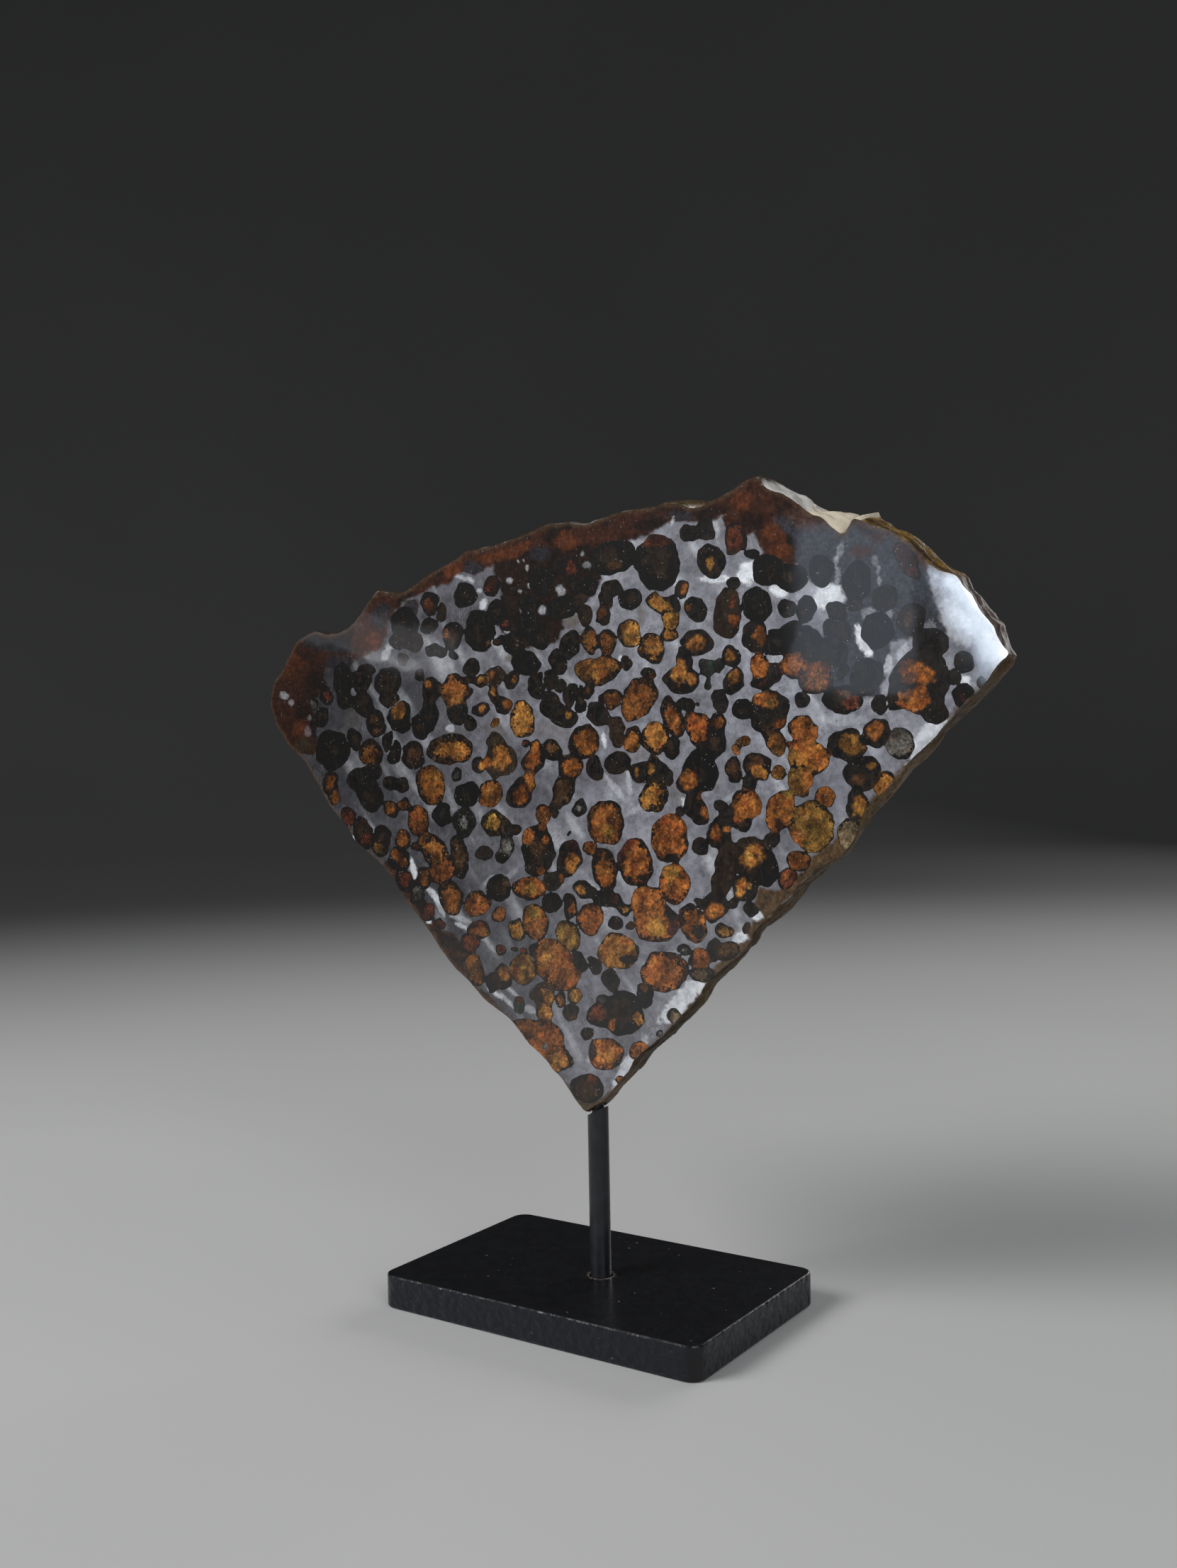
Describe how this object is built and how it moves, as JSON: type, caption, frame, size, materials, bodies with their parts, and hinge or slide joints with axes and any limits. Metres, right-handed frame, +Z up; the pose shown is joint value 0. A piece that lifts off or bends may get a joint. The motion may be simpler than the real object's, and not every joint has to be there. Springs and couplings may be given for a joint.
{
  "type": "pallasite meteorite slice on stand",
  "caption": "Polished slab of stony-iron meteorite with rounded amber and black crystals in grey metal, natural rim, held upright by its lowest tip on a rod and plate.",
  "frame": {"origin": "centre of the base plate's flat underside", "axes": "+Z up, +X along the plate's long side and the slice's width, the slice's front face towards -Y"},
  "size_m": [0.164, 0.045, 0.1536],
  "materials": {
    "pallasite": "polished and lacquered cut faces, rough natural crust on the rim",
    "stand_black": "satin black paint, lightly worn along the edges"
  },
  "bodies": {
    "root": {"meteorite_slice": "pallasite", "rod": "stand_black", "base_plate": "stand_black"}
  },
  "joints": []
}
